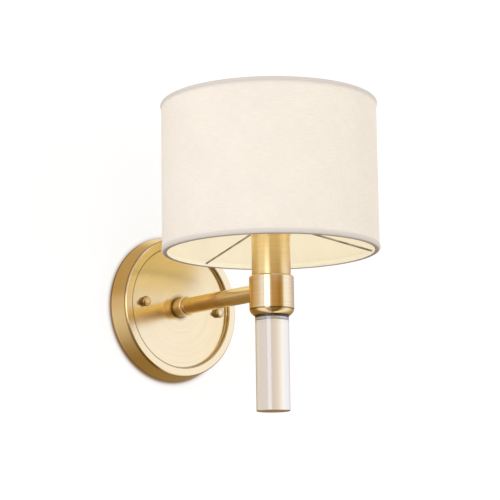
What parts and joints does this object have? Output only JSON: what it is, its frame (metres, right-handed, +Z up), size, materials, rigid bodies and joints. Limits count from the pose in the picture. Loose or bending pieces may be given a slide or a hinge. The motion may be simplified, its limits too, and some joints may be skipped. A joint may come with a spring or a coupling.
{
  "type": "wall sconce",
  "caption": "Wall sconce with a round brushed brass canopy, straight arm, drum fabric shade on a sleeved lampholder and a clear glass rod hanging below.",
  "frame": {"origin": "centre of the canopy's back, on the wall", "axes": "+Y points into the wall, the arm runs out along -Y, +Z is up and +X is to the right of someone who faces the wall"},
  "size_m": [0.1906, 0.2413, 0.271],
  "materials": {
    "brushed_brass": "satin brushed, lacquered",
    "turned_brass": "satin turned, lacquered",
    "raw_brass": "plain machined",
    "zinc_steel": "zinc plated, dull",
    "ground_green": "green dyed zinc, satin",
    "knurled_steel": "nickel finish, knurled",
    "crystal": "clear, polished",
    "lamp_glass": "soft white coated",
    "phenolic": "moulded, semi matt",
    "bronze_wire": "dark bronze coated wire",
    "shade_linen": "fine linen weave",
    "hem_tape": "folded linen tape",
    "liner_film": "satin cream film",
    "nickel_base": "rolled thin sheet",
    "solder": "dull solder button",
    "black_insulation": "smooth insulation",
    "white_insulation": "smooth insulation",
    "bare_copper": "bare drawn wire",
    "orange_cap": "moulded, ribbed"
  },
  "bodies": {
    "root": {"wall_bracket": "zinc_steel", "mounting_studs": "zinc_steel", "stud_lock_nuts": "zinc_steel", "ground_screw": "ground_green", "backplate": "brushed_brass", "canopy_nipple": "zinc_steel", "canopy_washer": "zinc_steel", "canopy_lock_nut": "zinc_steel", "arm_collar": "turned_brass", "arm_root_plug": "raw_brass", "arm_tube": "brushed_brass", "arm_end_plug": "raw_brass", "cup_nipple": "zinc_steel", "cup_lock_nut": "zinc_steel", "cup": "turned_brass", "cup_base": "turned_brass", "rod_nut": "zinc_steel", "rod_stud": "zinc_steel", "rod_ferrule": "knurled_steel", "glass_rod": "crystal", "socket_strap": "zinc_steel", "strap_screw": "zinc_steel", "socket_sleeve": "brushed_brass", "socket_body": "phenolic", "screw_shell": "raw_brass", "centre_contact": "raw_brass", "shade_fitter": "bronze_wire", "shade_ring_nut": "turned_brass", "shade_top_ring": "bronze_wire", "shade_liner": "liner_film", "shade_fabric": "shade_linen", "shade_hem_top": "hem_tape", "shade_hem_bottom": "hem_tape", "lead_black": "black_insulation", "lead_white": "white_insulation", "ground_wire": "bare_copper", "wire_connectors": "orange_cap"},
    "left_nut": {"cap_nut_left": "turned_brass"},
    "right_nut": {"cap_nut_right": "turned_brass"},
    "bulb_rider": {"bulb_contact": "solder"},
    "bulb": {"bulb_glass": "lamp_glass", "bulb_base": "nickel_base"}
  },
  "joints": [
    {"name": "left_nut_off", "type": "slide", "parent": "root", "child": "left_nut", "axis": [0, -1, 0], "range_m": [0, 0.012]},
    {"name": "right_nut_off", "type": "slide", "parent": "root", "child": "right_nut", "axis": [0, -1, 0], "range_m": [0, 0.012]},
    {"name": "bulb_rise", "type": "slide", "parent": "root", "child": "bulb_rider", "axis": [0, 0, 1], "range_m": [0, 0.02197]},
    {"name": "bulb_turn", "type": "hinge", "parent": "bulb_rider", "child": "bulb", "pos_m": [0, -0.146, 0.08], "axis": [0, 0, 1], "range_deg": [0, 2160]}
  ],
  "couplings": [
    {"joint": "bulb_rise", "follows": "bulb_turn", "m_per_rad": 0.00057751}
  ]
}
